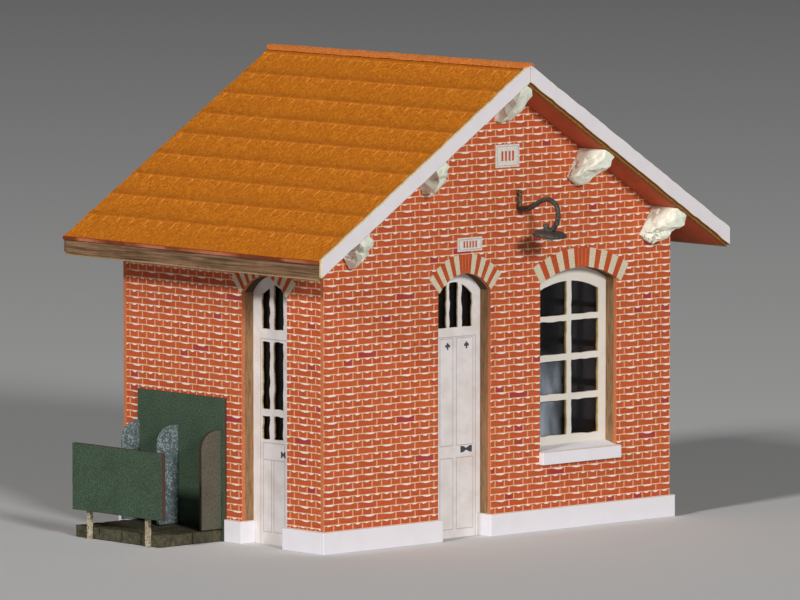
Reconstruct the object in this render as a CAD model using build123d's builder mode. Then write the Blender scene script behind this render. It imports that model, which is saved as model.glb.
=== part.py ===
from build123d import *

import os
from math import atan2, cos, degrees, radians, sin, tan

# Card scale model of a small brick railway station building, with a urinal annex.
#
# Millimetres. +Z is up and the model stands on Z = 0. The origin is the centre of the
# building's plan at ground level. The front gable faces -Y and the annex is on the -X side.
# Each wall is a grey board with a printed brick card glued to its outside.

# ---- driving sizes -----------------------------------------------------------------
width = 60.0  # over the brick faces, along X
depth = 38.4  # over the brick faces, along Y
wall_height = 38.4  # ground to soffit at the outer face of a side wall
roof_pitch = 32.7  # degrees

board = 1.4  # grey structural board
facing = 0.6  # printed brick card
sheet = 0.5  # card of doors, window frames and bargeboards
glazing = 0.25  # clear sheet
floor_thickness = 1.2
clearance = 0.05  # floor to the door sheets

plinth_height = 2.85
plinth_thickness = 0.5
plinth_return = 0.4  # plinth card turned into a door reveal

deck_thickness = 1.6  # roof board, square to the slope
tile_thickness = 0.5
eave_overhang = 5.4
gable_overhang = 5.6  # to the outer face of the bargeboard
fascia_thickness = 0.3
tile_drip = 0.12  # tile edge beyond the fascia
bargeboard_height = 2.2  # measured plumb
ridge_leg = 1.1
ridge_thickness = 0.3
ridge_end = 0.2  # ridge cap beyond the bargeboards

corbel_width = 2.0
corbel_projection = 4.8
corbel_height = 4.4
corbel_toe = 1.3
corbel_flat = 1.0
corbel_bulge = (0.62, 0.74)  # a point of the underside, as parts of projection and height
corbel_places = (14.7, 27.5)  # from the ridge, each side
ridge_corbel_height = 4.9

door_width = 9.0
door_spring = 31.4
door_rise = 2.4
door_centre = -6.1

window_width = 13.4
window_spring = 31.6
window_rise = 1.8
window_bottom = 9.2
window_centre = 13.7

side_door_width = 8.6
side_door_spring = 31.8
side_door_rise = 2.3
side_door_centre = -8.0

side_window_centre = -4.9

frame_lap = 1.2  # how far a frame or door is glued behind its opening
frame_stile = 1.65  # visible width of a window frame
arch_depth = 2.5  # radial height of the voussoirs
arch_foot = 0.2  # voussoir ring beyond the opening, at the springing
arch_paper = 0.15

transom_width = 5.9  # light over the front door
transom_bottom = 26.8
transom_margin = 1.2  # white frame above the light

side_light_width = 4.0
side_light_centre = -7.4
side_lights = ((13.3, 16.3), (17.2, 25.6))  # low and middle lights, bottom and top
side_transom_bottom = 27.2

sill_height = 1.65
sill_top = 10.1
sill_ears = 0.2  # beyond the opening, each side
sill_projection = 0.8
sill_rise = 0.5  # from the wall face in to the frame

plaque_thickness = 0.15
date_plaque = (4.1, 2.9)
date_plaque_centre = (1.15, 48.3)
sign_plaque = (4.2, 1.75)
sign_plaque_centre = (-5.3, 37.45)

lamp_x = 3.0
lamp_bar = (0.5, 0.7, 2.6)  # width, projection and height of the wall bar
lamp_bar_bottom = 41.3
lamp_wire = 0.3  # radius of the arm
lamp_arm = ((0.4, 41.6), (3.0, 42.0), (5.7, 43.0), (7.5, 41.2), (6.0, 39.2))  # reach, height
lamp_shade_radius = 2.35
lamp_shade_neck = 0.75
lamp_shade_lip = 0.35
lamp_shade_height = 0.8
lamp_bulb_radius = 0.55

annex_start = -0.35  # near end of the annex base, along Y
annex_length = 16.35
annex_reach = 10.9  # base beyond the brick face
annex_base_height = 1.6
panel_thickness = 0.4
panel_top = 18.2
panel_lap = 0.5  # panel beyond the near end of the base
partition_thickness = 0.5
partition_reaches = (3.3, 3.3, 2.8)  # out from the panel
partition_top = 14.15
partition_round = 2.4
partition_places = (-0.25, 8.0, 15.5)  # near faces, along Y
screen_thickness = 0.65
screen_span = (-2.35, 15.0)
screen_heights = (3.7, 12.2)
leg_size = 0.6
leg_drop = 1.0  # from the top of the screen
leg_places = (1.1, 12.4)  # near faces, along Y

# ---- sizes that follow -----------------------------------------------------------------
half_width = width / 2
half_depth = depth / 2
pitch = radians(roof_pitch)
slope = tan(pitch)
wall = board + facing
soffit_apex = wall_height + half_width * slope
deck_apex = soffit_apex + deck_thickness / cos(pitch)
tile_apex = deck_apex + tile_thickness / cos(pitch)
eave_x = half_width + eave_overhang
fascia_x = eave_x - tile_drip
deck_x = fascia_x - fascia_thickness
gable_y = half_depth + gable_overhang
deck_y = gable_y - sheet
inner_x = half_width - wall
inner_y = half_depth - wall
annex_end = annex_start + annex_length
panel_x = -half_width - panel_thickness
panel_start = annex_start - panel_lap
base_x = -half_width - annex_reach


def soffit(x):
    """Height of the underside of the roof at a distance x from the ridge."""
    return soffit_apex - abs(x) * slope


def front(y):
    """Sketch plane parallel to the gable at y: sketch x is X and sketch y is Z."""
    return Plane(origin=(0, y, 0), x_dir=(1, 0, 0), z_dir=(0, -1, 0))


def side(x):
    """Sketch plane parallel to a side wall at x: sketch x is Y and sketch y is Z."""
    return Plane(origin=(x, 0, 0), x_dir=(0, 1, 0), z_dir=(1, 0, 0))


def polygon(*points):
    """A closed face through the points, in sketch coordinates."""
    with BuildSketch(Plane.XY) as shape:
        with BuildLine():
            Polyline(*points, close=True)
        make_face()
    return shape.sketch


def rectangle(x0, x1, z0, z1):
    """A face between two pairs of edges, in sketch coordinates."""
    return polygon((x0, z0), (x1, z0), (x1, z1), (x0, z1))


def arched(centre, span, bottom, spring, rise):
    """An upright opening whose head is a segment of a circle."""
    half = span / 2
    with BuildSketch(Plane.XY) as shape:
        with BuildLine():
            Polyline(
                (centre - half, spring),
                (centre - half, bottom),
                (centre + half, bottom),
                (centre + half, spring),
            )
            ThreePointArc(
                (centre + half, spring),
                (centre, spring + rise),
                (centre - half, spring),
            )
        make_face()
    return shape.sketch


def arch_ring(centre, span, spring, rise):
    """The band of voussoirs over an opening, with its feet cut along the radii."""
    half = span / 2
    radius = (half**2 + rise**2) / (2 * rise)
    hub = spring + rise - radius
    outer = radius + arch_depth
    angle = atan2(half, spring - hub) + arch_foot / radius
    with BuildSketch(Plane.XY) as shape:
        with BuildLine():
            inner_edge = CenterArc(
                (centre, hub), radius, 90 - degrees(angle), 2 * degrees(angle)
            )
            outer_edge = CenterArc(
                (centre, hub), outer, 90 - degrees(angle), 2 * degrees(angle)
            )
            Line(inner_edge @ 0, outer_edge @ 0)
            Line(inner_edge @ 1, outer_edge @ 1)
        make_face()
    return shape.sketch


door_opening = arched(door_centre, door_width, 0, door_spring, door_rise)
window_opening = arched(
    window_centre, window_width, window_bottom, window_spring, window_rise
)
side_door_opening = arched(
    side_door_centre, side_door_width, 0, side_door_spring, side_door_rise
)
side_window_opening = arched(
    side_window_centre, window_width, window_bottom, window_spring, window_rise
)


def block(x0, x1, y0, y1, z0, z1):
    """Adds a plain box between three pairs of faces to the piece being built."""
    with Locations(((x0 + x1) / 2, (y0 + y1) / 2, (z0 + z1) / 2)):
        Box(x1 - x0, y1 - y0, z1 - z0)


def write(part, name):
    """Labels a finished piece and writes it as parts/name.step."""
    part.label = name
    export_step(part, f"parts/{name}.step")


os.makedirs("parts", exist_ok=True)


# ---- walls ---------------------------------------------------------------------------
def gable_sheet(half, near_y, thickness, openings):
    """A gable-shaped sheet that runs from near_y towards -Y."""
    with BuildPart() as gable:
        with BuildSketch(front(near_y)):
            add(
                polygon(
                    (-half, 0),
                    (half, 0),
                    (half, soffit(half)),
                    (0, soffit_apex),
                    (-half, soffit(half)),
                )
            )
            for opening in openings:
                add(opening, mode=Mode.SUBTRACT)
        extrude(amount=thickness)
    return gable.part


def side_sheet(inner, outer, half, openings):
    """A side wall sheet between two distances from the ridge, on the +X side."""
    with BuildPart() as wall_sheet:
        with BuildSketch(front(half)):
            add(
                polygon((inner, 0), (outer, 0), (outer, soffit(outer)), (inner, soffit(inner)))
            )
        extrude(amount=2 * half)
        for opening in openings:
            with BuildSketch(side(0)):
                add(opening)
            extrude(amount=half_width * 2, mode=Mode.SUBTRACT)
    return wall_sheet.part


front_openings = (door_opening, window_opening)
board_y = half_depth - facing
board_x = half_width - facing

write(gable_sheet(board_x, -inner_y, board, front_openings), "front_wall_board")
write(gable_sheet(half_width, -board_y, facing, front_openings), "front_brick_facing")
write(gable_sheet(board_x, board_y, board, ()), "back_wall_board")
write(gable_sheet(half_width, half_depth, facing, ()), "back_brick_facing")

write(side_sheet(inner_x, board_x, inner_y, (side_window_opening,)), "right_wall_board")
write(side_sheet(board_x, half_width, board_y, (side_window_opening,)), "right_brick_facing")
write(
    side_sheet(inner_x, board_x, inner_y, (side_door_opening,)).mirror(Plane.YZ),
    "left_wall_board",
)
write(
    side_sheet(board_x, half_width, board_y, (side_door_opening,)).mirror(Plane.YZ),
    "left_brick_facing",
)

# ---- floor, notched for the door sheets behind the walls ------------------------------------
notch = sheet + glazing + clearance
door_reach = door_width / 2 + frame_lap + clearance
side_door_reach = side_door_width / 2 + frame_lap + clearance
with BuildPart() as floor_board:
    block(-inner_x, inner_x, -inner_y, inner_y, 0, floor_thickness)
    with BuildSketch():
        add(
            rectangle(
                door_centre - door_reach, door_centre + door_reach, -inner_y, -inner_y + notch
            )
        )
        add(
            rectangle(
                -inner_x,
                -inner_x + notch,
                side_door_centre - side_door_reach,
                side_door_centre + side_door_reach,
            )
        )
    extrude(amount=floor_thickness, mode=Mode.SUBTRACT)
write(floor_board.part, "floor_board")

# ---- plinth strips, turned into the door reveals ---------------------------------------------
plinth_x = half_width + plinth_thickness
plinth_y = half_depth + plinth_thickness
door_left = door_centre - door_width / 2
door_right = door_centre + door_width / 2
side_door_near = side_door_centre - side_door_width / 2
side_door_far = side_door_centre + side_door_width / 2

with BuildPart() as front_plinth:
    block(-plinth_x, door_left, -plinth_y, -half_depth, 0, plinth_height)
    block(door_left, door_left + plinth_return, -plinth_y, -inner_y, 0, plinth_height)
    block(door_right, plinth_x, -plinth_y, -half_depth, 0, plinth_height)
    block(door_right - plinth_return, door_right, -plinth_y, -inner_y, 0, plinth_height)
write(front_plinth.part, "front_plinth")

with BuildPart() as back_plinth:
    block(-plinth_x, plinth_x, half_depth, plinth_y, 0, plinth_height)
write(back_plinth.part, "back_plinth")

with BuildPart() as right_plinth:
    block(half_width, plinth_x, -half_depth, half_depth, 0, plinth_height)
write(right_plinth.part, "right_plinth")

near_return = side_door_near + plinth_return
far_return = side_door_far - plinth_return
with BuildPart() as left_plinth:
    block(-plinth_x, -half_width, -half_depth, side_door_near, 0, plinth_height)
    block(-plinth_x, -inner_x, side_door_near, near_return, 0, plinth_height)
    block(-plinth_x, -inner_x, far_return, side_door_far, 0, plinth_height)
    block(-plinth_x, -half_width, side_door_far, panel_start, 0, plinth_height)
    block(-plinth_x, -half_width, annex_end, half_depth, 0, plinth_height)
write(left_plinth.part, "left_plinth")


# ---- arches over the openings, as a paper overlay on the brick card ---------------------------
def overlay(plane, face, thickness):
    """A thin flat piece on a plane, extruded along the plane's normal."""
    with BuildPart() as piece:
        with BuildSketch(plane):
            add(face)
        extrude(amount=thickness)
    return piece.part


door_ring = arch_ring(door_centre, door_width, door_spring, door_rise)
window_ring = arch_ring(window_centre, window_width, window_spring, window_rise)
side_door_ring = arch_ring(side_door_centre, side_door_width, side_door_spring, side_door_rise)
side_window_ring = arch_ring(side_window_centre, window_width, window_spring, window_rise)
write(overlay(front(-half_depth), door_ring, arch_paper), "front_door_arch")
write(overlay(front(-half_depth), window_ring, arch_paper), "front_window_arch")
write(overlay(side(-half_width), side_door_ring, -arch_paper), "left_door_arch")
write(overlay(side(half_width), side_window_ring, arch_paper), "right_window_arch")


# ---- doors and windows, glued behind the openings ---------------------------------------------
def framed(centre, span, bottom, spring, rise, lights):
    """A card sheet that laps an opening on all sides, with its lights cut out."""
    with BuildSketch(Plane.XY) as shape:
        add(arched(centre, span + 2 * frame_lap, bottom, spring, rise + frame_lap))
        for light in lights:
            add(light, mode=Mode.SUBTRACT)
    return shape.sketch


door_light = arched(
    door_centre,
    transom_width,
    transom_bottom,
    door_spring - transom_margin,
    door_rise,
)
door_sheet = framed(door_centre, door_width, 0, door_spring, door_rise, (door_light,))
door_glass = arched(
    door_centre,
    transom_width + frame_lap,
    transom_bottom - frame_lap,
    door_spring,
    door_rise,
)
door_back_y = -inner_y + sheet
write(overlay(front(door_back_y), door_sheet, sheet), "front_door")
write(overlay(front(door_back_y + glazing), door_glass, glazing), "front_door_glazing")

side_light_faces = [
    arched(
        side_light_centre,
        side_light_width,
        side_transom_bottom,
        side_door_spring,
        side_door_rise - transom_margin,
    )
]
for low, high in side_lights:
    near_edge = side_light_centre - side_light_width / 2
    side_light_faces.append(rectangle(near_edge, near_edge + side_light_width, low, high))
side_door_sheet = framed(
    side_door_centre,
    side_door_width,
    0,
    side_door_spring,
    side_door_rise,
    side_light_faces,
)
side_door_glass = arched(
    side_light_centre,
    side_light_width + frame_lap,
    side_lights[0][0] - frame_lap,
    side_door_spring,
    side_door_rise - transom_margin / 2,
)
write(overlay(side(-inner_x), side_door_sheet, sheet), "left_door")
write(overlay(side(-inner_x + sheet), side_door_glass, glazing), "left_door_glazing")


def window_frame(centre):
    """The face of a window frame, before its bars."""
    light = arched(
        centre,
        window_width - 2 * frame_stile,
        sill_top + sill_rise + frame_stile / 2,
        window_spring - frame_stile / 2,
        window_rise,
    )
    return framed(centre, window_width, window_bottom, window_spring, window_rise, (light,))


window_back_y = -inner_y + sheet
window_back_x = inner_x - sheet
write(
    overlay(front(window_back_y), window_frame(window_centre), sheet),
    "front_window_frame",
)
write(
    overlay(front(window_back_y + glazing), window_opening, glazing),
    "front_window_glazing",
)
write(
    overlay(side(window_back_x), window_frame(side_window_centre), sheet),
    "right_window_frame",
)
write(
    overlay(side(window_back_x - glazing), side_window_opening, glazing),
    "right_window_glazing",
)


def sill(centre):
    """A window sill for a wall with its outer face on the XZ plane, looking towards -Y."""
    start = centre - window_width / 2
    with BuildPart() as piece:
        with BuildSketch(side(start - sill_ears)):
            add(rectangle(-sill_projection, 0, sill_top - sill_height, sill_top))
        extrude(amount=window_width + 2 * sill_ears)
        with BuildSketch(side(start)):
            add(
                polygon(
                    (0, window_bottom),
                    (wall, window_bottom),
                    (wall, sill_top + sill_rise),
                    (0, sill_top),
                )
            )
        extrude(amount=window_width)
    return piece.part


write(Pos(0, -half_depth, 0) * sill(window_centre), "front_window_sill")
write(Pos(half_width, 0, 0) * Rot(0, 0, 90) * sill(side_window_centre), "right_window_sill")


# ---- roof -------------------------------------------------------------------------------------
def roof_slab(under_apex, over_apex, near_x, far_x, half_length):
    """A slab of the +X slope between two distances from the ridge, cut plumb at both."""
    with BuildPart() as slab:
        with BuildSketch(front(half_length)):
            add(
                polygon(
                    (near_x, under_apex - near_x * slope),
                    (far_x, under_apex - far_x * slope),
                    (far_x, over_apex - far_x * slope),
                    (near_x, over_apex - near_x * slope),
                )
            )
        extrude(amount=2 * half_length)
    return slab.part


deck = roof_slab(soffit_apex, deck_apex, 0, deck_x, deck_y)
tiles = roof_slab(deck_apex, tile_apex, 0, eave_x, deck_y)
fascia = roof_slab(soffit_apex, deck_apex, deck_x, fascia_x, deck_y)
for solid, name in ((deck, "roof_deck"), (tiles, "roof_tiles"), (fascia, "eave_fascia")):
    write(solid.mirror(Plane.YZ), f"left_{name}")
    write(solid, f"right_{name}")

eave_top = tile_apex - eave_x * slope
with BuildPart() as front_bargeboard:
    with BuildSketch(front(-deck_y)):
        add(
            polygon(
                (-eave_x, eave_top),
                (0, tile_apex),
                (eave_x, eave_top),
                (eave_x, eave_top - bargeboard_height),
                (0, tile_apex - bargeboard_height),
                (-eave_x, eave_top - bargeboard_height),
            )
        )
    extrude(amount=sheet)
write(front_bargeboard.part, "front_bargeboard")
write(front_bargeboard.part.mirror(Plane.XZ), "back_bargeboard")

ridge_reach = ridge_leg * cos(pitch)
ridge_drop = ridge_leg * sin(pitch)
ridge_lift = ridge_thickness / cos(pitch)
with BuildPart() as ridge_cap:
    with BuildSketch(front(gable_y + ridge_end)):
        add(
            polygon(
                (-ridge_reach, tile_apex - ridge_drop),
                (0, tile_apex),
                (ridge_reach, tile_apex - ridge_drop),
                (ridge_reach, tile_apex - ridge_drop + ridge_lift),
                (0, tile_apex + ridge_lift),
                (-ridge_reach, tile_apex - ridge_drop + ridge_lift),
            )
        )
    extrude(amount=2 * (gable_y + ridge_end))
write(ridge_cap.part, "ridge_cap")


# ---- plaster corbels under the gable overhangs ------------------------------------------------
def corbel_profile(height):
    """The side of a corbel: sketch x is the projection and sketch y runs down."""
    bulge_x, bulge_y = corbel_bulge
    with BuildSketch(Plane.XY) as shape:
        with BuildLine():
            Polyline(
                (corbel_flat, height),
                (0, height),
                (0, 0),
                (corbel_projection, 0),
                (corbel_projection, corbel_toe),
            )
            ThreePointArc(
                (corbel_projection, corbel_toe),
                (corbel_projection * bulge_x, height * bulge_y),
                (corbel_flat, height),
            )
        make_face()
    return shape.sketch


def slope_corbel(place):
    """A corbel square to the soffit, at a distance from the ridge on either side."""
    lean = pitch if place > 0 else -pitch
    seat = Plane(
        origin=(place, -half_depth, soffit(place)),
        x_dir=(0, -1, 0),
        z_dir=(cos(lean), 0, -sin(lean)),
    )
    with BuildPart() as corbel:
        with BuildSketch(seat):
            add(corbel_profile(corbel_height))
        extrude(amount=corbel_width / 2, both=True)
    return corbel.part


def ridge_corbel():
    """The middle corbel, pointed to fit under the ridge."""
    half = corbel_width / 2
    foot = soffit_apex - ridge_corbel_height
    seat = Plane(origin=(0, -half_depth, soffit_apex), x_dir=(0, -1, 0), z_dir=(1, 0, 0))
    with BuildPart() as corbel:
        with BuildSketch(front(-half_depth)):
            add(
                polygon(
                    (-half, foot),
                    (half, foot),
                    (half, soffit(half)),
                    (0, soffit_apex),
                    (-half, soffit(half)),
                )
            )
        extrude(amount=corbel_projection)
        with BuildSketch(seat):
            add(corbel_profile(ridge_corbel_height))
        extrude(amount=corbel_width, both=True, mode=Mode.INTERSECT)
    return corbel.part


corbels = [ridge_corbel()]
for place in corbel_places:
    corbels.append(slope_corbel(place))
    corbels.append(slope_corbel(-place))
with BuildPart() as front_corbels:
    add(corbels)
write(front_corbels.part, "front_corbels")
write(front_corbels.part.mirror(Plane.XZ), "back_corbels")

# ---- plaques on the front gable ---------------------------------------------------------------
for name, size, centre in (
    ("date_plaque", date_plaque, date_plaque_centre),
    ("sign_plaque", sign_plaque, sign_plaque_centre),
):
    with BuildPart() as plaque:
        with BuildSketch(front(-half_depth)):
            with Locations(centre):
                Rectangle(*size)
        extrude(amount=plaque_thickness)
    write(plaque.part, name)

# ---- swan-neck lamp ---------------------------------------------------------------------------
bar_width, bar_depth, bar_height = lamp_bar
with BuildPart() as lamp_bracket:
    block(
        lamp_x - bar_width / 2,
        lamp_x + bar_width / 2,
        -half_depth - bar_depth,
        -half_depth,
        lamp_bar_bottom,
        lamp_bar_bottom + bar_height,
    )
    with BuildLine() as arm:
        Spline(*[(lamp_x, -half_depth - reach, height) for reach, height in lamp_arm])
    with BuildSketch(Plane(origin=arm.line @ 0, z_dir=arm.line % 0)):
        Circle(lamp_wire)
    sweep(path=arm.line)
write(lamp_bracket.part, "lamp_bracket")

arm_reach, arm_end = lamp_arm[-1]
shade_y = -half_depth - arm_reach
shade_top = arm_end - lamp_wire / 2
shade_under = shade_top - lamp_shade_height
shade_axis = Axis((lamp_x, shade_y, 0), (0, 0, 1))
with BuildPart() as lamp_shade:
    with BuildSketch(Plane(origin=(lamp_x, shade_y, 0), x_dir=(1, 0, 0), z_dir=(0, -1, 0))):
        add(
            polygon(
                (0, shade_top),
                (lamp_shade_neck, shade_top),
                (lamp_shade_radius, shade_under + lamp_shade_lip),
                (lamp_shade_radius, shade_under),
                (lamp_shade_neck, shade_top - lamp_shade_lip),
                (0, shade_top - lamp_shade_lip),
            )
        )
    revolve(axis=shade_axis)
write(lamp_shade.part, "lamp_shade")

with BuildPart() as lamp_bulb:
    with Locations((lamp_x, shade_y, shade_top - lamp_shade_lip - lamp_bulb_radius)):
        Sphere(lamp_bulb_radius)
write(lamp_bulb.part, "lamp_bulb")

# ---- urinal annex -----------------------------------------------------------------------------
with BuildPart() as urinal_base:
    block(base_x, -half_width, annex_start, annex_end, 0, annex_base_height)
write(urinal_base.part, "urinal_base")

with BuildPart() as urinal_back_panel:
    block(panel_x, -half_width, annex_start, annex_end, annex_base_height, panel_top)
    block(panel_x, -half_width, panel_start, annex_start, 0, panel_top)
write(urinal_back_panel.part, "urinal_back_panel")


def partition(near_y, reach):
    """A standing slab on the base with its outer top corner rounded."""
    outer = panel_x - reach
    with BuildPart() as slab:
        block(
            outer,
            panel_x,
            near_y,
            near_y + partition_thickness,
            annex_base_height,
            partition_top,
        )
        top_outer_edge = slab.edges().filter_by(Axis.Y).group_by(Axis.Z)[-1].sort_by(Axis.X)[0]
        fillet(top_outer_edge, partition_round)
    return slab.part


for number, (near_y, reach) in enumerate(zip(partition_places, partition_reaches), start=1):
    write(partition(near_y, reach), f"urinal_partition_{number}")

screen_x = base_x - leg_size
screen_start, screen_end = screen_span
screen_bottom, screen_top = screen_heights
with BuildPart() as urinal_screen:
    block(screen_x - screen_thickness, screen_x, screen_start, screen_end, screen_bottom, screen_top)
write(urinal_screen.part, "urinal_screen")

for number, near_y in enumerate(leg_places, start=1):
    with BuildPart() as leg:
        block(base_x - leg_size, base_x, near_y, near_y + leg_size, 0, screen_top - leg_drop)
    write(leg.part, f"urinal_leg_{number}")
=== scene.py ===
import math
from contextlib import contextmanager

import bmesh
import bpy
from mathutils import Matrix, Vector, noise


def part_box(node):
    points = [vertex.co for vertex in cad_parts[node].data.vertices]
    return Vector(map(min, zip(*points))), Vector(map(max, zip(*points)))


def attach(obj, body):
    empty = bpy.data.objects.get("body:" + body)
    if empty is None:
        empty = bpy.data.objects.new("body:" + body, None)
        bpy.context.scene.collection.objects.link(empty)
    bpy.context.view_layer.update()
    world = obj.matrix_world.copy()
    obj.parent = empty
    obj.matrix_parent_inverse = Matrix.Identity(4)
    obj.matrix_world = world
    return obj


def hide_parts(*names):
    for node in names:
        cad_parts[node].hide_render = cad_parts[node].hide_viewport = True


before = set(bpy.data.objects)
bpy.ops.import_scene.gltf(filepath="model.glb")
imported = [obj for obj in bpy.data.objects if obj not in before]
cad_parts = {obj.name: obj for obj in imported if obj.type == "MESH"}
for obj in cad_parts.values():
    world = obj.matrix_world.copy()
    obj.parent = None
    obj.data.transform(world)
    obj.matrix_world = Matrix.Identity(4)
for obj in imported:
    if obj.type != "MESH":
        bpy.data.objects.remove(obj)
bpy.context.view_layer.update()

# Card scale model of a small brick station building. Sizes below are in millimetres,
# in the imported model's own frame, and become metres where a mesh is made.
MM = 0.001

front_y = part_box("front_brick_facing")[0].y / MM
back_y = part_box("back_brick_facing")[1].y / MM
left_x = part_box("left_brick_facing")[0].x / MM
right_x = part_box("right_brick_facing")[1].x / MM
door_face_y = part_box("front_door")[0].y / MM
side_door_face_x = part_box("left_door")[0].x / MM
window_face_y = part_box("front_window_frame")[0].y / MM
side_window_face_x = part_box("right_window_frame")[1].x / MM
side_window_centre = sum(c.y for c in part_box("right_window_sill")) / 2 / MM
tile_low, tile_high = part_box("left_roof_tiles")
ridge_z = tile_high.z / MM
eave_x = -tile_low.x / MM
roof_front = tile_low.y / MM
roof_back = tile_high.y / MM
eave_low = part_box("left_eave_fascia")[0].z / MM
slope_angle = math.radians(32.7)
drop = math.tan(slope_angle)
# courses of tiles down the slope: their gauge and the foot of the last whole one
gauge = 4.465
last_butt = 37.03
last_x = last_butt * math.cos(slope_angle)
door_sheet = 0.3
window_sheet = 0.45

# Places that turn a flat outline (x across, y up, z out of the face) on to a wall.
ON_FRONT = Matrix(((1, 0, 0, 0), (0, 0, -1, 0), (0, 1, 0, 0), (0, 0, 0, 1)))
ON_BACK = Matrix(((-1, 0, 0, 0), (0, 0, 1, 0), (0, 1, 0, 0), (0, 0, 0, 1)))
ON_LEFT = Matrix(((0, 0, -1, 0), (-1, 0, 0, 0), (0, 1, 0, 0), (0, 0, 0, 1)))
ON_RIGHT = Matrix(((0, 0, 1, 0), (1, 0, 0, 0), (0, 1, 0, 0), (0, 0, 0, 1)))

TO_METRES = Matrix.Scale(MM, 4)

# The axes that sheets of card face along.
X_AXIS, Y_AXIS, Z_AXIS = (1.0, 0.0, 0.0), (0.0, 1.0, 0.0), (0.0, 0.0, 1.0)


# ---- small tools ----
def printed(red, green, blue, share=1.0):
    """A display colour, 0 to 255, as the linear colour that shaders use, dimmed to a share."""
    channels = []
    for value in (red, green, blue):
        part = value / 255
        linear = part / 12.92 if part <= 0.04045 else ((part + 0.055) / 1.055) ** 2.4
        channels.append(linear * share)
    return (*channels, 1.0)


def waver(x, y, z):
    """Smooth noise about 0 at a spot."""
    return noise.noise(Vector((x, y, z)))


def show(name, data):
    """Puts a mesh or a curve into the scene as an object at the origin."""
    piece = bpy.data.objects.new(name, data)
    bpy.context.scene.collection.objects.link(piece)
    return piece


def plain(piece):
    """Turns an object with live modifiers into one with a plain mesh, and returns it."""
    name = piece.name
    dressed = piece.evaluated_get(bpy.context.evaluated_depsgraph_get())
    mesh = bpy.data.meshes.new_from_object(dressed)
    bpy.data.objects.remove(piece)
    return show(name, mesh)


def eased(piece, width, segments=2):
    """Rounds every sharp edge of a piece by a small width."""
    bevel = piece.modifiers.new("eased_edges", "BEVEL")
    bevel.width = width * MM
    bevel.segments = segments
    bevel.limit_method = "ANGLE"
    bevel.angle_limit = math.radians(35)
    return plain(piece)


@contextmanager
def reworked(mesh):
    """The corners and faces of a mesh, open for changes that are written back at the end."""
    work = bmesh.new()
    work.from_mesh(mesh)
    yield work
    work.to_mesh(mesh)
    work.free()


def built(name, verts, faces, place=Matrix()):
    """A mesh in metres from corners in millimetres, which a place may turn and move."""
    mesh = bpy.data.meshes.new(name)
    mesh.from_pydata(verts, [], faces)
    mesh.transform(TO_METRES @ place)
    return mesh


def ring_faces(rings, count, spans):
    """The faces between rings of corners. As many spans as rings close up into a tube."""
    faces = []
    for index in range(spans):
        here, there = index * count, (index + 1) % rings * count
        for k in range(count):
            after = (k + 1) % count
            faces.append((here + k, here + after, there + after, there + k))
    return faces


def merged(mesh, outwards=True):
    """Joins the loose corners of a mesh and turns its faces outwards. Distances in metres."""
    with reworked(mesh) as work:
        bmesh.ops.remove_doubles(work, verts=work.verts, dist=1e-7)
        bmesh.ops.dissolve_degenerate(work, edges=work.edges, dist=1e-8)
        if outwards:
            bmesh.ops.recalc_face_normals(work, faces=work.faces)
    mesh.update()


def shaded(piece, smooth):
    """Shades every face of a piece smooth or flat."""
    for polygon in piece.data.polygons:
        polygon.use_smooth = smooth
    return piece


def coat(mesh, *names):
    """Gives a mesh its finishes in place of those it had."""
    mesh.materials.clear()
    for name in names:
        mesh.materials.append(finishes[name])


def settle(piece, finish, nodes=()):
    """Gives a finished piece its finish, its body and the nodes that it stands for."""
    if finish is not None:
        coat(piece.data, finish)
    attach(piece, "root")
    if nodes:
        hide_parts(*nodes)
    return piece


def recut(node, finish, width):
    """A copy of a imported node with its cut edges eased, shown in place of it."""
    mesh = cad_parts[node].data.copy()
    with reworked(mesh) as work:
        bmesh.ops.remove_doubles(work, verts=work.verts, dist=2e-6)
        bmesh.ops.dissolve_limit(
            work, angle_limit=math.radians(1), verts=work.verts, edges=work.edges
        )
    return settle(eased(show(node + "_card", mesh), width), finish, (node,))


def hand_cut(points, amount, seed, step=0.6):
    """A closed outline in short steps, a little off its line as a hand-held knife leaves it."""
    cut = []
    for here, there in zip(points, points[1:] + points[:1]):
        run = math.hypot(there[0] - here[0], there[1] - here[1])
        count = max(1, round(run / step))
        across = ((here[1] - there[1]) / run, (there[0] - here[0]) / run)
        for index in range(count):
            share = index / count
            x = here[0] + (there[0] - here[0]) * share
            y = here[1] + (there[1] - here[1]) * share
            off = amount * waver(x * 0.9, y * 0.9, seed * 7.3) if index else 0.0
            cut.append((x + across[0] * off, y + across[1] * off))
    return cut


def box_outline(left, right, low, high):
    """Four corners, anticlockwise."""
    return [(left, low), (right, low), (right, high), (left, high)]


def arched_outline(left, right, low, spring, apex, steps=10):
    """An upright outline with a segment of a circle on top, anticlockwise."""
    half = (right - left) / 2
    rise = apex - spring
    radius = (half**2 + rise**2) / (2 * rise)
    middle = (left + right) / 2
    hub = apex - radius
    reach = math.asin(half / radius)
    points = [(left, low), (right, low)]
    for index in range(steps + 1):
        angle = reach - 2 * reach * index / steps
        points.append((middle + radius * math.sin(angle), hub + radius * math.cos(angle)))
    return points


def head_curve(left, right, steps, apex, sag, centre, half):
    """Points from right to left along a curved top that is sag lower at half from its centre."""
    points = []
    for index in range(steps + 1):
        x = right + (left - right) * index / steps
        points.append((x, apex - sag * ((x - centre) / half) ** 2))
    return points


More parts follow.
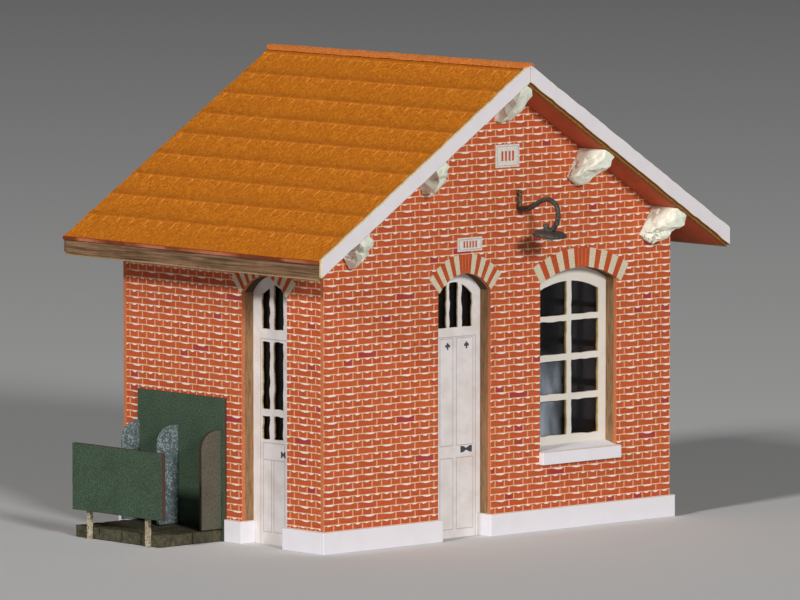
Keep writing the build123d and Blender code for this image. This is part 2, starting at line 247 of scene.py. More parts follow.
def flat_card(name, outlines, thickness, place, out, ease=0.0):
    """A card cut to closed outlines, the later ones being holes. out is where its face lies."""
    curve = bpy.data.curves.new(name, "CURVE")
    curve.dimensions = "2D"
    curve.fill_mode = "BOTH"
    curve.extrude = thickness / 2
    for outline in outlines:
        spline = curve.splines.new("POLY")
        spline.points.add(len(outline) - 1)
        for point, (x, y) in zip(spline.points, outline):
            point.co = (x, y, 0, 1)
        spline.use_cyclic_u = True
    piece = plain(show(name, curve))
    piece.data.transform(Matrix.Translation((0, 0, out - thickness / 2)))
    piece.data.transform(TO_METRES @ place)
    merged(piece.data)
    return eased(piece, ease, 1) if ease else piece


# ---- node trees ----
class Tree:
    """Adds nodes to one shader or geometry tree and wires them."""

    def __init__(self, tree):
        self.tree = tree

    def node(self, kind, *values, **settings):
        """A new node with its settings, and its first inputs fed."""
        made = self.tree.nodes.new(kind)
        for key, value in settings.items():
            setattr(made, key, value)
        for socket, value in zip(made.inputs, values):
            self.feed(socket, value)
        return made

    def feed(self, socket, value):
        if isinstance(value, bpy.types.NodeSocket):
            self.tree.links.new(value, socket)
        else:
            socket.default_value = value

    def wire(self, kind, inputs, **settings):
        """The first output of a new node whose inputs are fed by name."""
        made = self.node(kind, **settings)
        for label, value in inputs.items():
            self.feed(made.inputs[label], value)
        return made.outputs[0]

    def math(self, operation, *values, clamp=False):
        made = self.node("ShaderNodeMath", *values, operation=operation, use_clamp=clamp)
        return made.outputs[0]

    def plus(self, first, second):
        return self.math("ADD", first, second)

    def minus(self, first, second):
        return self.math("SUBTRACT", first, second)

    def times(self, first, second):
        return self.math("MULTIPLY", first, second)

    def over(self, first, second):
        return self.math("DIVIDE", first, second)

    def line(self, value, slope, offset):
        return self.math("MULTIPLY_ADD", value, slope, offset)

    def size(self, value):
        return self.math("ABSOLUTE", value)

    def mix(self, share, first, second):
        """A colour between two. One given as three numbers, 0 to 255, is a display colour."""
        made = self.node("ShaderNodeMix", share, data_type="RGBA")
        for socket, tone in zip((made.inputs[6], made.inputs[7]), (first, second)):
            is_display = isinstance(tone, tuple) and len(tone) == 3
            self.feed(socket, printed(*tone) if is_display else tone)
        return made.outputs[2]

    def step(self, value, low, high, first=0.0, second=1.0):
        """Goes smoothly from first to second as a value goes from low to high."""
        span = (value, low, high, first, second)
        made = self.node("ShaderNodeMapRange", *span, interpolation_type="SMOOTHSTEP")
        return made.outputs[0]

    def stretch(self, vector, scale):
        return self.wire("ShaderNodeMapping", {"Vector": vector, "Scale": scale})

    def cloud(self, vector, scale, detail=2.0, roughness=0.5):
        inputs = {"Vector": vector, "Scale": scale, "Detail": detail, "Roughness": roughness}
        return self.wire("ShaderNodeTexNoise", inputs)

    def combine(self, x, y, z):
        return self.node("ShaderNodeCombineXYZ", x, y, z).outputs[0]

    def split(self, vector):
        return self.node("ShaderNodeSeparateXYZ", vector).outputs

    def group(self, group, **values):
        made = self.node("ShaderNodeGroup", node_tree=group)
        for key, value in values.items():
            self.feed(made.inputs[key.replace("_", " ").title()], value)
        return made.outputs


def new_group(name, inputs, outputs, kind="Shader"):
    """A node group, its tree, and the sockets inside it of its inputs and its outputs."""
    group = bpy.data.node_groups.new(name, kind + "NodeTree")
    for in_out, sockets in (("INPUT", inputs), ("OUTPUT", outputs)):
        for label, socket in sockets.items():
            group.interface.new_socket(label, in_out=in_out, socket_type="NodeSocket" + socket)
    tree = Tree(group)
    return group, tree, tree.node("NodeGroupInput").outputs, tree.node("NodeGroupOutput").inputs


def floats(*labels):
    return dict.fromkeys(labels, "Float")


def make_card_grain():
    """The fibres and the soft blotches of card and paper."""
    group, tree, given, result = new_group(
        "card_grain", {"Position": "Vector", "Fineness": "Float"}, floats("Fibre", "Blotch")
    )
    fine, broad = (tree.times(given["Fineness"], scale) for scale in (5.0, 0.35))
    tree.feed(result["Fibre"], tree.cloud(given["Position"], fine, 4.0, 0.65))
    tree.feed(result["Blotch"], tree.cloud(given["Position"], broad, 3.0, 0.55))
    return group


def make_cut_edge():
    """Where a sheet shows its cut edge: faces that look away from the sheet's own axis."""
    group, tree, given, result = new_group(
        "cut_edge", {"Facing": "Vector", "Axis": "Vector"}, floats("Edge")
    )
    dot = tree.node(
        "ShaderNodeVectorMath", given["Facing"], given["Axis"], operation="DOT_PRODUCT"
    )
    along = tree.size(dot.outputs["Value"])
    tree.feed(result["Edge"], tree.step(along, 0.72, 0.95, 1.0, 0.0))
    return group


def make_english_bond():
    """Printed brickwork: courses of stretchers and headers with sagging pale joints.

    Joint is the pale line, Upright and Glint its parts that differ in tone, Shadow the rim
    below it, Tone a brick's own share of 0 to 1 and Purple the few odd bricks."""
    group, tree, given, result = new_group(
        "english_bond",
        floats("Along", "Height"),
        floats("Joint", "Upright", "Glint", "Shadow", "Tone", "Purple"),
    )
    course, header = 0.86, 1.618
    place = tree.combine(given["Along"], given["Height"], 0.0)
    wander = tree.minus(tree.cloud(place, 0.8), 0.5)
    ragged = tree.minus(tree.cloud(place, 5.0, 2.0, 0.6), 0.5)
    along = tree.line(wander, 0.16, given["Along"])
    rows = tree.over(tree.line(wander, 0.07, given["Height"]), course)
    row = tree.math("FLOOR", rows)
    below = tree.times(tree.minus(1.0, tree.math("FRACT", rows)), course)
    is_header = tree.size(tree.math("MODULO", row, 2.0))
    length = tree.line(is_header, -header, 2 * header)
    start = tree.times(is_header, header / 2)
    bricks = tree.over(tree.plus(along, start), length)
    part = tree.math("FRACT", bricks)
    dice = tree.node("ShaderNodeTexWhiteNoise", noise_dimensions="3D")
    tree.feed(dice.inputs["Vector"], tree.combine(tree.math("FLOOR", bricks), row, is_header))
    chance = dice.outputs["Value"]
    sag_chance, lean_chance, _ = tree.split(dice.outputs["Color"])

    # a joint sags into the brick below it: in the middle of a header, right of it on a stretcher
    lean = tree.line(lean_chance, 0.14, -0.07)
    middle = tree.plus(tree.line(is_header, -0.16, 0.66), lean)
    left_run = tree.line(is_header, -0.06, 0.36)
    right_run = tree.line(is_header, 0.08, 0.22)
    is_right = tree.math("GREATER_THAN", part, middle)
    spread = tree.line(is_right, tree.minus(right_run, left_run), left_run)
    off = tree.over(tree.minus(part, middle), spread)
    sag = tree.math("SUBTRACT", 1.0, tree.times(off, off), clamp=True)
    sag = tree.times(sag, tree.line(sag_chance, 0.5, 0.65))
    depth = tree.line(sag, 0.15, tree.line(ragged, 0.16, 0.1))
    bed = tree.step(tree.minus(below, depth), -0.04, 0.035, 1.0, 0.0)
    foot = tree.step(tree.minus(course, below), 0.0, 0.05, 1.0, 0.0)
    bed = tree.math("MAXIMUM", bed, foot)
    edge = tree.math("MINIMUM", part, tree.minus(1.0, part))
    gap = tree.line(ragged, 0.07, tree.times(edge, length))
    perpend = tree.step(gap, 0.06, 0.135, 0.9, 0.0)
    glint = tree.times(tree.step(sag, 0.25, 0.8), tree.step(below, 0.0, 0.08))
    tree.feed(result["Joint"], tree.math("MAXIMUM", bed, perpend))
    tree.feed(result["Upright"], tree.math("SUBTRACT", perpend, bed, clamp=True))
    tree.feed(result["Glint"], tree.times(glint, bed))
    tree.feed(result["Shadow"], tree.step(tree.minus(below, depth), 0.0, 0.13, 1.0, 0.0))
    tree.feed(result["Tone"], chance)
    tree.feed(result["Purple"], tree.step(chance, 0.968, 0.972))
    return group


def make_printed_panel():
    """The thin outline of one printed door panel."""
    group, tree, given, result = new_group(
        "printed_panel",
        floats("Across", "Height", "Centre", "Middle", "Half Width", "Half Height", "Line"),
        floats("Outline"),
    )
    across = tree.size(tree.minus(given["Across"], given["Centre"]))
    up = tree.size(tree.minus(given["Height"], given["Middle"]))
    beside = tree.minus(across, given["Half Width"])
    above = tree.minus(up, given["Half Height"])
    far = tree.size(tree.math("MAXIMUM", beside, above))
    tree.feed(result["Outline"], tree.step(far, 0.0, given["Line"], 1.0, 0.0))
    return group


card_grain = make_card_grain()
cut_edge = make_cut_edge()
english_bond = make_english_bond()
printed_panel = make_printed_panel()


# ---- finishes ----
finishes = {}


class Finish(Tree):
    """A material with one Principled shader, and where its spot lies in millimetres.

    tint is its colour so far. A layer goes over it, and done() hands it to the shader."""

    def __init__(self, name, roughness=0.8, **constants):
        self.material = finishes[name] = bpy.data.materials.new(name)
        self.material.use_nodes = True
        super().__init__(self.material.node_tree)
        self.shader = self.tree.nodes["Principled BSDF"].inputs
        constants = {"Roughness": roughness, "Specular_IOR_Level": 0.3, **constants}
        for key, value in constants.items():
            self.shader[key.replace("_", " ")].default_value = value
        spot = self.node("ShaderNodeTexCoord").outputs["Object"]
        scale = (1 / MM,) * 3
        made = self.node("ShaderNodeVectorMath", spot, scale, operation="MULTIPLY")
        self.position = made.outputs[0]
        self.x, self.y, self.z = self.split(self.position)
        self.facing = self.node("ShaderNodeNewGeometry").outputs["True Normal"]
        self.tint = None

    def grain(self, fineness=1.0):
        """The fibres and the blotches of this surface."""
        return self.group(card_grain, position=self.position, fineness=fineness)

    def streaks(self, scale, roughness=0.7):
        return self.cloud(self.stretch(self.position, scale), 1.0, 4.0, roughness)

    def edge(self, axis):
        return self.group(cut_edge, facing=self.facing, axis=axis)[0]

    def under(self):
        """Where a face looks down."""
        return self.step(self.split(self.facing)[2], -0.5, -0.2, 1.0, 0.0)

    def arris(self):
        """Where an eased edge turns from an upright face to a level top."""
        up = self.split(self.facing)[2]
        return self.times(self.step(up, 0.15, 0.35), self.step(up, 0.85, 0.97, 1.0, 0.0))

    def fade(self, value, low, high, first, second):
        """From one tone to another as a value goes from low to high."""
        return self.mix(self.step(value, low, high), first, second)

    def layer(self, share, tone):
        """Lays a tone over the colour so far."""
        self.tint = self.mix(share, self.tint, tone)

    def veil(self, value, low, high, most, tone):
        """A layer that grows to its largest share as a value goes from low to high."""
        self.layer(self.step(value, low, high, 0.0, most), tone)

    def done(self, height=None, distance=0.0):
        """Gives the shader its colour, and relief to a depth in millimetres."""
        self.feed(self.shader["Base Color"], self.tint)
        if height is not None:
            relief = {"Strength": 1.0, "Distance": distance * MM, "Height": height}
            self.feed(self.shader["Normal"], self.wire("ShaderNodeBump", relief))


def brick_finish(name, axis, along, sign, phase, base):
    """Printed brick card. along is the axis that the courses run on, sign its direction."""
    finish = Finish(name, 0.75)
    run = finish.line(getattr(finish, along), sign, phase)
    bond = finish.group(english_bond, along=run, height=finish.minus(finish.z, base))
    fibre, blotch = finish.grain()
    finish.tint = finish.mix(bond["Tone"], (206, 88, 42), (180, 64, 36))
    patch = finish.step(finish.cloud(finish.position, 2.2), 0.35, 0.65)
    finish.layer(finish.times(patch, 0.85), (172, 86, 32))
    speck = finish.step(finish.cloud(finish.position, 7.0, 3.0, 0.7), 0.42, 0.62)
    finish.layer(finish.times(speck, 0.5), (216, 84, 52))
    finish.layer(bond["Purple"], (168, 52, 54))
    finish.layer(finish.times(bond["Shadow"], 0.6), (116, 56, 40))
    joint = finish.mix(bond["Glint"], (230, 194, 156), (244, 230, 220))
    joint = finish.mix(bond["Upright"], joint, (232, 166, 122))
    finish.layer(bond["Joint"], joint)
    finish.veil(blotch, 0.3, 0.7, 0.1, (206, 126, 86))
    finish.layer(finish.edge(axis), finish.fade(fibre, 0.35, 0.65, (186, 100, 58), (206, 128, 82)))
    finish.done(fibre, 0.02)


def board_finish():
    """Raw board: brown layers that show where it was cut, a dull face, and painted shade on faces
    that look down.
    """
    finish = Finish("raw_board", 0.9)
    streak = finish.streaks((4.5, 4.5, 0.4))
    fibre, blotch = finish.grain()
    finish.tint = finish.fade(streak, 0.3, 0.7, (112, 82, 54), (160, 128, 92))
    finish.veil(blotch, 0.45, 0.7, 0.5, (150, 104, 72))
    # painted shade: faces that look down, such as the tops of the reveals, are darkened to a
    # brown-black
    finish.layer(finish.times(finish.under(), 0.8), (58, 42, 30))
    finish.done(finish.plus(streak, fibre), 0.05)


def white_card_finish(name, face, axis=None, edge=None, below=None, dirt=0.25):
    """White card with its own cut edge colours: below is for edges that face down.

    Card without an axis is white right through, and brown along its rubbed upper arrises."""
    finish = Finish(name, 0.7)
    fibre, blotch = finish.grain()
    dull = printed(*face, 0.82)
    finish.tint = finish.mix(finish.step(blotch, 0.4, 0.75, 0.0, dirt), face, dull)
    finish.veil(fibre, 0.45, 0.7, 0.1, dull)
    if axis is None:
        finish.layer(finish.arris(), (204, 178, 128))
    else:
        side = finish.fade(fibre, 0.4, 0.6, edge, printed(*edge, 0.72))
        finish.layer(finish.edge(axis), finish.mix(finish.under(), side, below))
    finish.done(fibre, 0.02)


def door_finish(name, axis, along, panels):
    """White card printed with the thin outlines of door panels."""
    finish = Finish(name, 0.6)
    fibre, blotch = finish.grain()
    line = 0.0
    for left, right, low, high in panels:
        panel = finish.group(
            printed_panel,
            across=getattr(finish, along),
            height=finish.z,
            centre=(left + right) / 2,
            middle=(low + high) / 2,
            half_width=(right - left) / 2,
            half_height=(high - low) / 2,
            line=0.1,
        )
        line = finish.math("MAXIMUM", line, panel[0])
    finish.tint = finish.fade(blotch, 0.35, 0.7, (236, 230, 228), (222, 213, 208))
    finish.layer(finish.times(line, 0.6), (140, 132, 140))
    edge = finish.fade(fibre, 0.35, 0.65, (232, 222, 184), (198, 164, 104))
    finish.layer(finish.edge(axis), edge)
    finish.done(fibre, 0.015)


def tile_finish():
    """Orange embossed card with painted light: paler creases as a painted highlight, darker course
    feet as painted shade; brown at the cut eave.
    """
    finish = Finish("tile_card", 0.9, Specular_IOR_Level=0.12)
    fibre, blotch = finish.grain(1.3)
    streak = finish.streaks((2.0, 3.4, 2.0))
    finish.tint = finish.fade(streak, 0.3, 0.7, (180, 93, 12), (238, 146, 38))
    finish.veil(blotch, 0.4, 0.7, 0.5, (196, 112, 26))
    speck = finish.step(finish.cloud(finish.position, 4.5, 3.0, 0.8), 0.58, 0.68)
    finish.layer(finish.times(speck, 0.5), (140, 74, 18))

    # painted shade darkens each course towards its foot, and a painted highlight makes its creases
    # pale
    facing = finish.split(finish.facing)
    sideways = finish.size(facing[0])
    reach = finish.size(finish.x)
    down = finish.line(reach, 1 / math.cos(slope_angle), gauge * 8 - last_butt)
    low = finish.step(finish.math("FRACT", finish.over(down, gauge)), 0.55, 0.97, 0.0, 0.32)
    above = finish.step(reach, last_x - 0.1, last_x, 1.0, 0.0)
    # painted shade towards each course's foot, left off the last course
    finish.layer(finish.times(low, above), (146, 76, 18))
    upright = finish.times(facing[2], math.cos(slope_angle))
    level = finish.line(sideways, math.sin(slope_angle), upright)
    # painted highlight: faces tilted away from the slope, as at the creases, are made pale
    finish.layer(finish.step(level, 0.94, 0.995, 0.85, 0.0), (236, 158, 72))

    finish.layer(finish.step(reach, eave_x - 0.16, eave_x - 0.08), (150, 56, 22))
    patch = finish.cloud(finish.position, 0.16)
    cut = finish.fade(patch, 0.4, 0.62, (112, 58, 34), (206, 128, 94))
    cut = finish.mix(finish.step(fibre, 0.35, 0.65, 0.0, 0.5), cut, (140, 62, 36))
    finish.layer(finish.step(sideways, 0.9, 0.96), cut)
    finish.done(finish.plus(fibre, finish.times(streak, 0.8)), 0.15)


def mottled_finish(
    name, dark, light, fineness, relief=0.03, roughness=0.85, low=0.35, high=0.65, axis=None,
    cut=None,
):
    """A dull surface with two tones in fine grains and a slow change over the piece.

    cut is the colour of the edges of a card whose faces look along the axis."""
    finish = Finish(name, roughness)
    fibre, blotch = finish.grain(fineness)
    finish.tint = finish.fade(fibre, low, high, dark, light)
    finish.veil(blotch, 0.35, 0.75, 0.35, dark)
    if cut is not None:
        finish.layer(finish.edge(axis), cut)
    finish.done(fibre, relief)


def streaked_finish():
    """The eave strip: brown streaks along the eave over a pale ragged lip."""
    finish = Finish("eave_strip", 0.85)
    streak = finish.streaks((4.0, 0.12, 4.0), 0.6)
    fibre, blotch = finish.grain()
    finish.tint = finish.fade(streak, 0.32, 0.68, (72, 52, 32), (150, 114, 84))
    finish.veil(blotch, 0.4, 0.7, 0.4, (88, 64, 42))
    low = finish.line(fibre, 0.5, finish.z)
    finish.layer(finish.step(low, eave_low + 0.35, eave_low + 0.5, 0.6, 0.0), (186, 156, 112))
    finish.done(finish.plus(streak, fibre), 0.06)


def soffit_finish():
    """The roof board: painted red-brown below, raw at its edges and at the gable ends."""
    finish = Finish("roof_board", 0.8)
    fibre, blotch = finish.grain(0.8)
    finish.tint = finish.fade(blotch, 0.3, 0.7, (228, 94, 68), (206, 78, 58))
    finish.veil(fibre, 0.4, 0.7, 0.3, (222, 106, 80))
    raw = finish.fade(fibre, 0.35, 0.6, (108, 70, 28), (158, 106, 48))
    reach = finish.line(fibre, 0.5, finish.size(finish.y))
    finish.layer(finish.step(reach, 23.85, 24.05), raw)
    finish.layer(finish.edge(Z_AXIS), raw)
    finish.done(fibre, 0.03)


def plaster_finish():
    """Rough white plaster, uneven in tone."""
    finish = Finish("rough_plaster", 0.9)
    crack = finish.cloud(finish.position, 1.1, 5.0, 0.7)
    fibre, blotch = finish.grain(1.4)
    finish.tint = finish.fade(crack, 0.34, 0.6, (218, 221, 204), (238, 241, 224))
    finish.veil(blotch, 0.55, 0.75, 0.25, (234, 224, 196))
    finish.done(finish.plus(crack, finish.times(fibre, 0.4)), 0.04)


def clear_finish():
    """Thin clear sheet with a grey tint that paints shade on the room seen through it, a little
    uneven in its tint, with a dull sheen on top.
    """
    finish = Finish(
        "clear_sheet", 0.1, Transmission_Weight=1.0, IOR=1.2, Alpha=0.9,
        Coat_Weight=0.35, Coat_Roughness=0.45,
    )
    cloudy = finish.cloud(finish.position, 0.2)
    # painted shade: the grey tint darkens the lit room seen through the glazing
    finish.tint = finish.fade(cloudy, 0.3, 0.7, (104, 101, 108), (132, 130, 138))
    finish.done()


def painted_reflection_finish():
    """A painted reflection: a thin pale film on the glass, thicker at the lower left of the front
    window.
    """
    finish = Finish("glue_haze", 0.6)
    glare_cloud = finish.cloud(finish.stretch(finish.position, (1.0, 1.0, 0.4)), 0.3)
    thin = finish.step(glare_cloud, 0.3, 0.62, 0.1, 0.85)
    thin = finish.times(thin, finish.step(finish.x, 11.4, 13.3, 1.0, 0.0))
    thin = finish.times(thin, finish.step(finish.z, 17.5, 23.0, 1.0, 0.0))
    finish.feed(finish.shader["Alpha"], thin)
    finish.tint = finish.mix(glare_cloud, (116, 128, 142), (178, 188, 198))
    finish.done()


def granite_finish():
    """Grey speckled print, light and dark grains."""
    finish = Finish("granite_print", 0.6)
    grains = finish.node("ShaderNodeTexVoronoi")
    finish.feed(grains.inputs["Vector"], finish.position)
    finish.feed(grains.inputs["Scale"], 5.5)
    tone = finish.node("ShaderNodeRGBToBW", grains.outputs["Color"]).outputs[0]
    fibre, blotch = finish.grain()
    finish.tint = finish.fade(fibre, 0.35, 0.65, (74, 88, 90), (112, 124, 124))
    finish.veil(tone, 0.66, 0.76, 0.75, (164, 176, 176))
    finish.layer(finish.step(tone, 0.2, 0.34, 0.45, 0.0), (58, 66, 68))
    finish.veil(blotch, 0.35, 0.7, 0.45, (92, 106, 108))
    finish.done(fibre, 0.02)


for given in (
    ("brick_print_front", Y_AXIS, "x", 1.0, 24.30, 0.17),
    ("brick_print_back", Y_AXIS, "x", -1.0, 24.30, 0.17),
    ("brick_print_left", X_AXIS, "y", -1.0, 5.74, -0.23),
    ("brick_print_right", X_AXIS, "y", 1.0, 5.74, -0.23),
):
    brick_finish(*given)
for given in (
    ("bargeboard_card", (224, 218, 220), Y_AXIS, (222, 200, 156), (142, 98, 44)),
    ("back_bargeboard_card", (224, 218, 220), Y_AXIS, (132, 94, 62), (120, 80, 34)),
    ("window_card_front", (230, 224, 212), Y_AXIS, (216, 184, 122), (214, 204, 186)),
    ("window_card_side", (230, 224, 212), X_AXIS, (216, 184, 122), (214, 204, 186)),
):
    white_card_finish(*given)
white_card_finish("plinth_card", (232, 228, 232), dirt=0.2)
door_finish(
    "front_door_print",
    Y_AXIS,
    "x",
    (
        (-11.6, -2.40, -2.0, 25.60),
        (-8.50, -6.27, 11.76, 25.40),
        (-5.66, -2.82, 11.76, 25.40),
        (-8.50, -6.27, 1.10, 10.17),
        (-5.66, -2.82, 1.10, 10.17),
    ),
)
door_finish(
    "side_door_print",
    X_AXIS,
    "y",
    (
        (-12.0, -5.05, -2.0, 26.00),
        (-9.60, -5.55, 10.72, 12.87),
        (-9.60, -7.55, 1.59, 10.72),
        (-7.10, -5.55, 1.59, 10.72),
    ),
)
for make in (
    board_finish, tile_finish, streaked_finish, soffit_finish, plaster_finish, clear_finish,
    painted_reflection_finish, granite_finish,
):
    make()
# name, dark and light tone, fineness, relief, roughness, fibre range, axis and edge colour
for given in (
    ("ridge_strip", (196, 100, 34), (226, 140, 66), 0.9, 0.06),
    ("voussoir_cream", (196, 184, 154), (228, 218, 192), 1.2, 0.01, 0.75),
    ("voussoir_red", (172, 64, 30), (204, 92, 44), 1.2, 0.01, 0.75),
    ("voussoir_line", (196, 100, 62), (214, 128, 86), 1.2, 0.01, 0.75),
    ("plaque_paper", (214, 206, 196), (234, 228, 220), 0.8, 0.01, 0.7),
    ("red_ink", (176, 74, 50), (204, 116, 88), 1.5, 0.0, 0.7),
    ("grey_ink", (150, 142, 136), (186, 178, 170), 1.5, 0.0, 0.7),
    ("blue_ink", (48, 50, 60), (86, 90, 104), 1.2, 0.0, 0.6),
    ("lamp_paint", (40, 37, 34), (112, 104, 96), 1.4, 0.06, 0.55, 0.38, 0.72),
    ("lamp_bar_paint", (52, 44, 34), (150, 118, 80), 0.9, 0.03, 0.6),
    ("lamp_glass", (186, 178, 150), (228, 222, 200), 0.6, 0.0, 0.25),
    ("green_card", (44, 62, 48), (82, 102, 80), 1.0, 0.05, 0.85, 0.3, 0.72, X_AXIS, (76, 56, 46)),
    ("olive_card", (74, 74, 62), (104, 102, 86), 0.9, 0.04, 0.85, 0.3, 0.7, Y_AXIS, (60, 46, 36)),
    ("leg_paint", (120, 104, 80), (206, 196, 170), 0.8, 0.04),
    ("block_print", (58, 56, 42), (92, 88, 66), 0.4, 0.05, 0.9, 0.3, 0.7),
):
    mottled_finish(*given)

# ---- walls, floor and plinth ----
WALLS = ("front", "back", "left", "right")
for wall, ease in zip(WALLS, (0.05, 0.05, 0.03, 0.03)):
    recut(wall + "_brick_facing", "brick_print_" + wall, ease)
for node in [wall + "_wall_board" for wall in WALLS] + ["floor_board"]:
    coat(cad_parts[node].data, "raw_board")
for wall in WALLS:
    recut(wall + "_plinth", "plinth_card", 0.08)


# ---- printed arches ----
def printed_arch(name, node, place, out, opening, fan):
    """A fan of cream and red voussoirs round a wide red key, as paper on the wall.

    opening is its centre, span, spring and rise; fan is the point that the joints run to,
    the half angle of the key and that of the whole fan, in degrees."""
    centre, span, spring, rise = opening
    fan_x, fan_z, key_half, fan_half = fan
    depth, paper = 2.5, 0.15
    radius = ((span / 2) ** 2 + rise**2) / (2 * rise)
    hub = spring + rise - radius

    def inner(angle):
        """Distance from the fan's point to the opening's curve."""
        across, up = math.sin(angle), math.cos(angle)
        x, z = fan_x - centre, fan_z - hub
        half = x * across + z * up
        return -half + math.sqrt(half**2 - (x * x + z * z - radius**2))

    # seven voussoirs on each side, and a key in four with thin lines between its parts
    key_half, fan_half = math.radians(key_half), math.radians(fan_half)
    pitch = (fan_half - key_half) / 7
    cream, red, joint = 0, 1, 2
    cream_share = 1.06
    side = [key_half]
    side_tones = [cream, red, cream, red, cream, red, cream]
    for tone in side_tones:
        side.append(side[-1] + pitch * (cream_share if tone == cream else 2 - cream_share))
    line = key_half * 0.05
    key = [
        index * key_half / 2 + edge for index in (-1, 0, 1) for edge in (-line, line)
    ]
    bounds = [-angle for angle in side[::-1]] + key + side
    tones = side_tones + [red, joint, red, joint, red, joint, red] + side_tones

    verts, faces, face_tones = [], [], []
    for index, (start, end, tone) in enumerate(zip(bounds, bounds[1:], tones)):
        middle = 0.0 if -key_half <= (start + end) / 2 <= key_half else (start + end) / 2
        top = inner(middle) + depth - (0.1 if tone else 0.0)
        top += 0.07 * waver(index * 1.7, radius, 0.3)
        base = len(verts)
        for level in (out, out + paper):
            for angle, at_top in ((start, False), (end, False), (end, True), (start, True)):
                reach = top / math.cos(angle - middle) if at_top else inner(angle)
                verts.append(
                    (fan_x + reach * math.sin(angle), fan_z + reach * math.cos(angle), level)
                )
        corners = [(7, 6, 5, 4), (0, 1, 2, 3)]
        corners += [(4 + k, 4 + (k + 1) % 4, (k + 1) % 4, k) for k in range(4)]
        faces += [[base + corner for corner in face] for face in corners]
        face_tones += [tone] * 6
    mesh = built(name, verts, faces, place)
    coat(mesh, "voussoir_cream", "voussoir_red", "voussoir_line")
    for polygon, tone in zip(mesh.polygons, face_tones):
        polygon.material_index = tone
    with reworked(mesh) as work:
        bmesh.ops.recalc_face_normals(work, faces=work.faces)
    return settle(show(name, mesh), None, (node,))


door_fan, window_fan = (7.0, 42.5), (5.3, 32.5)
for where, place, out, opening, fan in (
    ("front_door", ON_FRONT, -front_y, (-6.1, 9.0, 31.4, 2.4), (-6.1, 26.75, *door_fan)),
    ("front_window", ON_FRONT, -front_y, (13.7, 13.4, 31.6, 1.8), (14.15, 20.5, *window_fan)),
    ("left_door", ON_LEFT, -left_x, (8.0, 8.6, 31.8, 2.3), (8.0, 27.1, *door_fan)),
    (
        "right_window",
        ON_RIGHT,
        right_x,
        (side_window_centre, 13.4, 31.6, 1.8),
        (side_window_centre, 20.5, *window_fan),
    ),
):
    printed_arch(where + "_voussoirs", where + "_arch", place, out, opening, fan)


# ---- doors and windows ----
def window_outlines(centre, seed):
    """The cut card of a window: four rows of two panes under an arched head."""
    half, lap, stile = 6.7, 1.2, 5.4
    outlines = [arched_outline(centre - half - lap, centre + half + lap, 9.2, 31.6, 34.6)]
    bars = (11.73, 16.19, 17.03, 21.29, 22.13, 26.38, 27.15)
    for left, right in ((centre - stile, centre - 0.2), (centre + 0.62, centre + stile)):
        for row in range(3):
            pane = box_outline(left, right, bars[2 * row], bars[2 * row + 1])
            outlines.append(hand_cut(pane, 0.13, seed + row * 2 + left))
        head = [(left, bars[6]), (right, bars[6])]
        head += head_curve(left, right, 6, 31.5, 1.25, centre, stile)
        outlines.append(hand_cut(head, 0.12, seed + 9 + left))
    return outlines


door_lights = []
for left, right in ((-9.2, -7.32), (-6.9, -5.42), (-4.75, -3.0)):
    light = [(left, 26.8), (right, 26.8)] + head_curve(left, right, 4, 32.55, 1.6, -6.1, 3.1)
    door_lights.append(hand_cut(light, 0.2, left))

# on the left wall an outline's x is -Y
side_lights = []
for low, high in ((13.33, 16.25), (17.13, 25.61), (27.25, 31.4)):
    for left, right in ((5.35, 6.82), (7.6, 9.39)):
        light = box_outline(left, right, low, high)
        if low > 27 and left < 7:
            light = [(left, low), (right, low), (right, 32.45), (left, 31.65)]
        elif low > 27:
            light = [(left, low), (right, low), (right, 32.0), (8.9, 32.5), (left, 32.9)]
        side_lights.append(hand_cut(light, 0.22, left + low, 0.5))

front_leaf = [arched_outline(-11.8, -0.4, 0.0, 31.4, 35.0, 16)] + door_lights
side_leaf = [arched_outline(2.5, 13.5, 0.0, 31.8, 35.3, 16)] + side_lights
front_sash = window_outlines(13.7, 3)
side_sash = window_outlines(side_window_centre, 17)
for name, node, outlines, thickness, place, out, ease, finish in (
    ("front_window_card", "front_window_frame", front_sash, window_sheet, ON_FRONT,
     -window_face_y, 0.09, "window_card_front"),
    ("right_window_card", "right_window_frame", side_sash, window_sheet, ON_RIGHT,
     side_window_face_x, 0.09, "window_card_side"),
    ("front_door_leaf", "front_door", front_leaf, door_sheet, ON_FRONT,
     -door_face_y, 0.07, "front_door_print"),
    ("left_door_leaf", "left_door", side_leaf, door_sheet, ON_LEFT,
     -side_door_face_x, 0.07, "side_door_print"),
):
    card = flat_card(name, outlines, thickness, place, out, ease)
    settle(card, finish, (node,))

for opening in ("front_door", "left_door", "front_window", "right_window"):
    coat(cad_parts[opening + "_glazing"].data, "clear_sheet")
# painted reflection: a pale film over the lower left panes of the front window
reflection_outline = hand_cut(box_outline(7.4, 13.2, 9.6, 24.0), 0.3, 5)
reflection_out = -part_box("front_window_glazing")[0].y / MM + 0.05
reflection_film = flat_card("front_window_reflection", [reflection_outline], 0.03, ON_FRONT, reflection_out)
settle(reflection_film, "glue_haze")
for node in ("front_window_sill", "right_window_sill"):
    recut(node, "plinth_card", 0.08)


# ---- printed marks on the doors and plaques ----
SPADE = (
    (0.0, 1.0), (-0.35, 0.55), (-0.85, 0.2), (-0.8, -0.25), (-0.35, -0.3), (-0.16, -0.2),
    (-0.3, -0.9), (0.3, -0.9), (0.16, -0.2), (0.35, -0.3), (0.8, -0.25), (0.85, 0.2),
    (0.35, 0.55),
)
BOW = (
    (-1, -1), (-0.55, -0.95), (-0.1, -0.35), (0.1, -0.35), (0.55, -0.95), (1, -1),
    (1, 1), (0.55, 0.95), (0.1, 0.35), (-0.1, 0.35), (-0.55, 0.95), (-1, 1),
)


def mark(shape, x, z, half, tall):
    """A unit shape at its own place and size: a spade-shaped vent or a bow-tie handle."""
    return [(x + half * across, z + tall * up) for across, up in shape]


